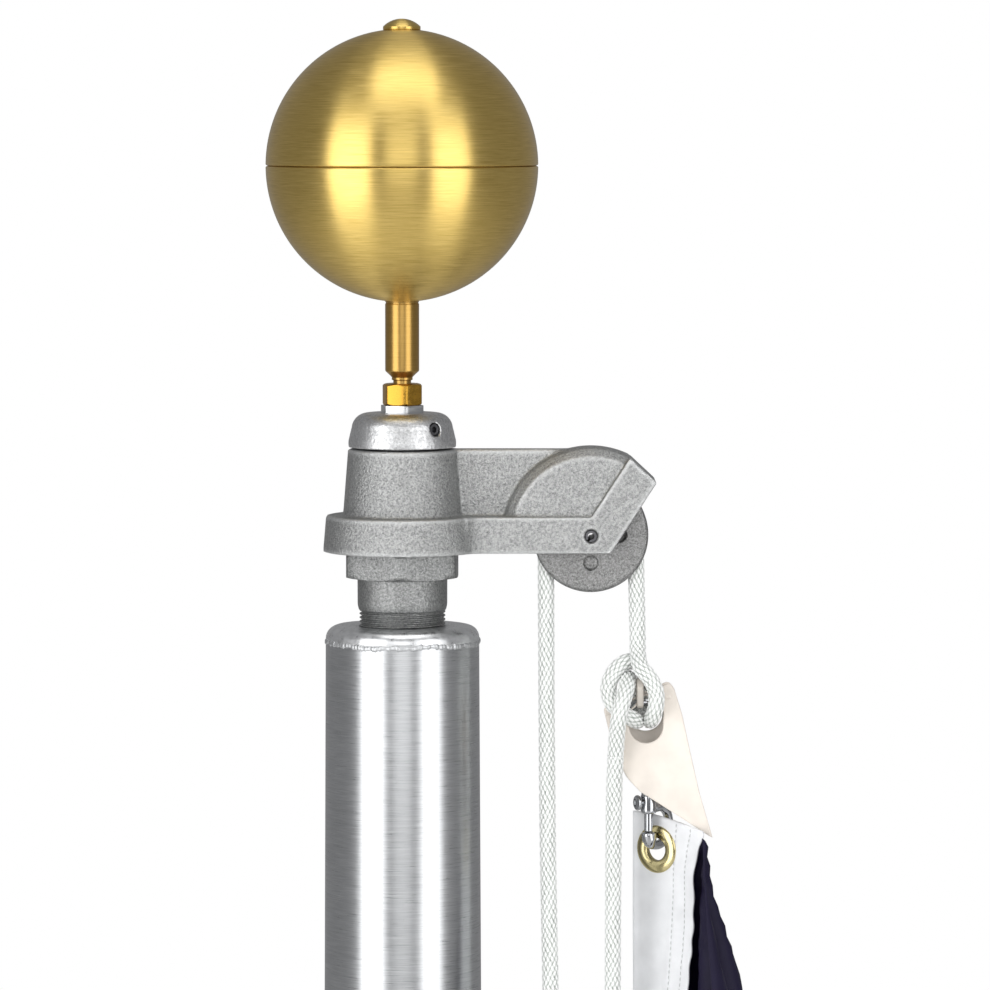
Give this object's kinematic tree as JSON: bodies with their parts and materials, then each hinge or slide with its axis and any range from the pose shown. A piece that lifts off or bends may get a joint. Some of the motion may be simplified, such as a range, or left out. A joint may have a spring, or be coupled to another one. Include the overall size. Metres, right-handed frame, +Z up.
{
  "type": "flagpole top section",
  "caption": "Top section of a tapered aluminium flagpole with a revolving truck and sheave, a ball finial, a rope halyard, snap hooks and a plain hanging flag.",
  "frame": {"origin": "centre of the shaft section's flat lower end, on the pole's axis", "axes": "+Z up along the pole's axis, +X from the axis towards the truck's sheave as stored, -Y the side that faces the viewer"},
  "size_m": [0.3294, 0.1951, 1.6398],
  "materials": {
    "brushed_aluminium": "satin",
    "polished_aluminium": "polished",
    "spindle_aluminium": "satin",
    "cast_aluminium": "rough",
    "grey_casting": "satin",
    "dark_steel": "satin",
    "brass": "satin",
    "gold_anodised": "satin",
    "chrome": "polished",
    "white_rope": "matte",
    "cover_neoprene": "matte",
    "white_canvas": "matte",
    "navy_cloth": "matte"
  },
  "bodies": {
    "shaft": {"shaft_tube": "brushed_aluminium", "shaft_plug": "polished_aluminium", "weld_bead": "polished_aluminium", "spindle": "spindle_aluminium", "bearing_cap": "cast_aluminium", "cap_set_screw": "dark_steel", "jam_nut": "polished_aluminium", "rod_nut": "brass", "finial_rod": "gold_anodised", "ball_lower_half": "gold_anodised", "ball_upper_half": "gold_anodised", "ball_button": "gold_anodised"},
    "truck": {"truck_casting": "cast_aluminium", "sheave_pin": "dark_steel", "halyard_on_sheave": "white_rope", "halyard_left_fall": "white_rope", "halyard_right_fall": "white_rope", "halyard_upper_hitch": "white_rope", "halyard_along_hoist": "white_rope", "halyard_lower_hitch": "white_rope", "halyard_tail": "white_rope", "halyard_joining_knot": "white_rope", "upper_snap_cover": "cover_neoprene", "upper_snap_hook": "chrome", "lower_snap_cover": "cover_neoprene", "lower_snap_hook": "chrome", "upper_grommet": "brass", "lower_grommet": "brass", "flag_heading": "white_canvas", "flag_cloth": "navy_cloth"},
    "sheave": {"sheave": "grey_casting"},
    "upper_bolt": {"upper_snap_bolt": "chrome"},
    "lower_bolt": {"lower_snap_bolt": "chrome"}
  },
  "joints": [
    {"name": "truck_revolve", "type": "hinge", "parent": "shaft", "child": "truck", "pos_m": [0, 0, 1.35], "axis": [0, 0, 1], "continuous": true},
    {"name": "sheave_spin", "type": "hinge", "parent": "truck", "child": "sheave", "pos_m": [0.1057, 0, 1.3515], "axis": [0, 1, 0], "continuous": true},
    {"name": "upper_bolt_slide", "type": "slide", "parent": "truck", "child": "upper_bolt", "axis": [0, 0, 1], "range_m": [0, 0.008], "stiffness_N_per_m": 600, "springref_m": -0.002},
    {"name": "lower_bolt_slide", "type": "slide", "parent": "truck", "child": "lower_bolt", "axis": [0, 0, -1], "range_m": [0, 0.008], "stiffness_N_per_m": 600, "springref_m": -0.002}
  ]
}
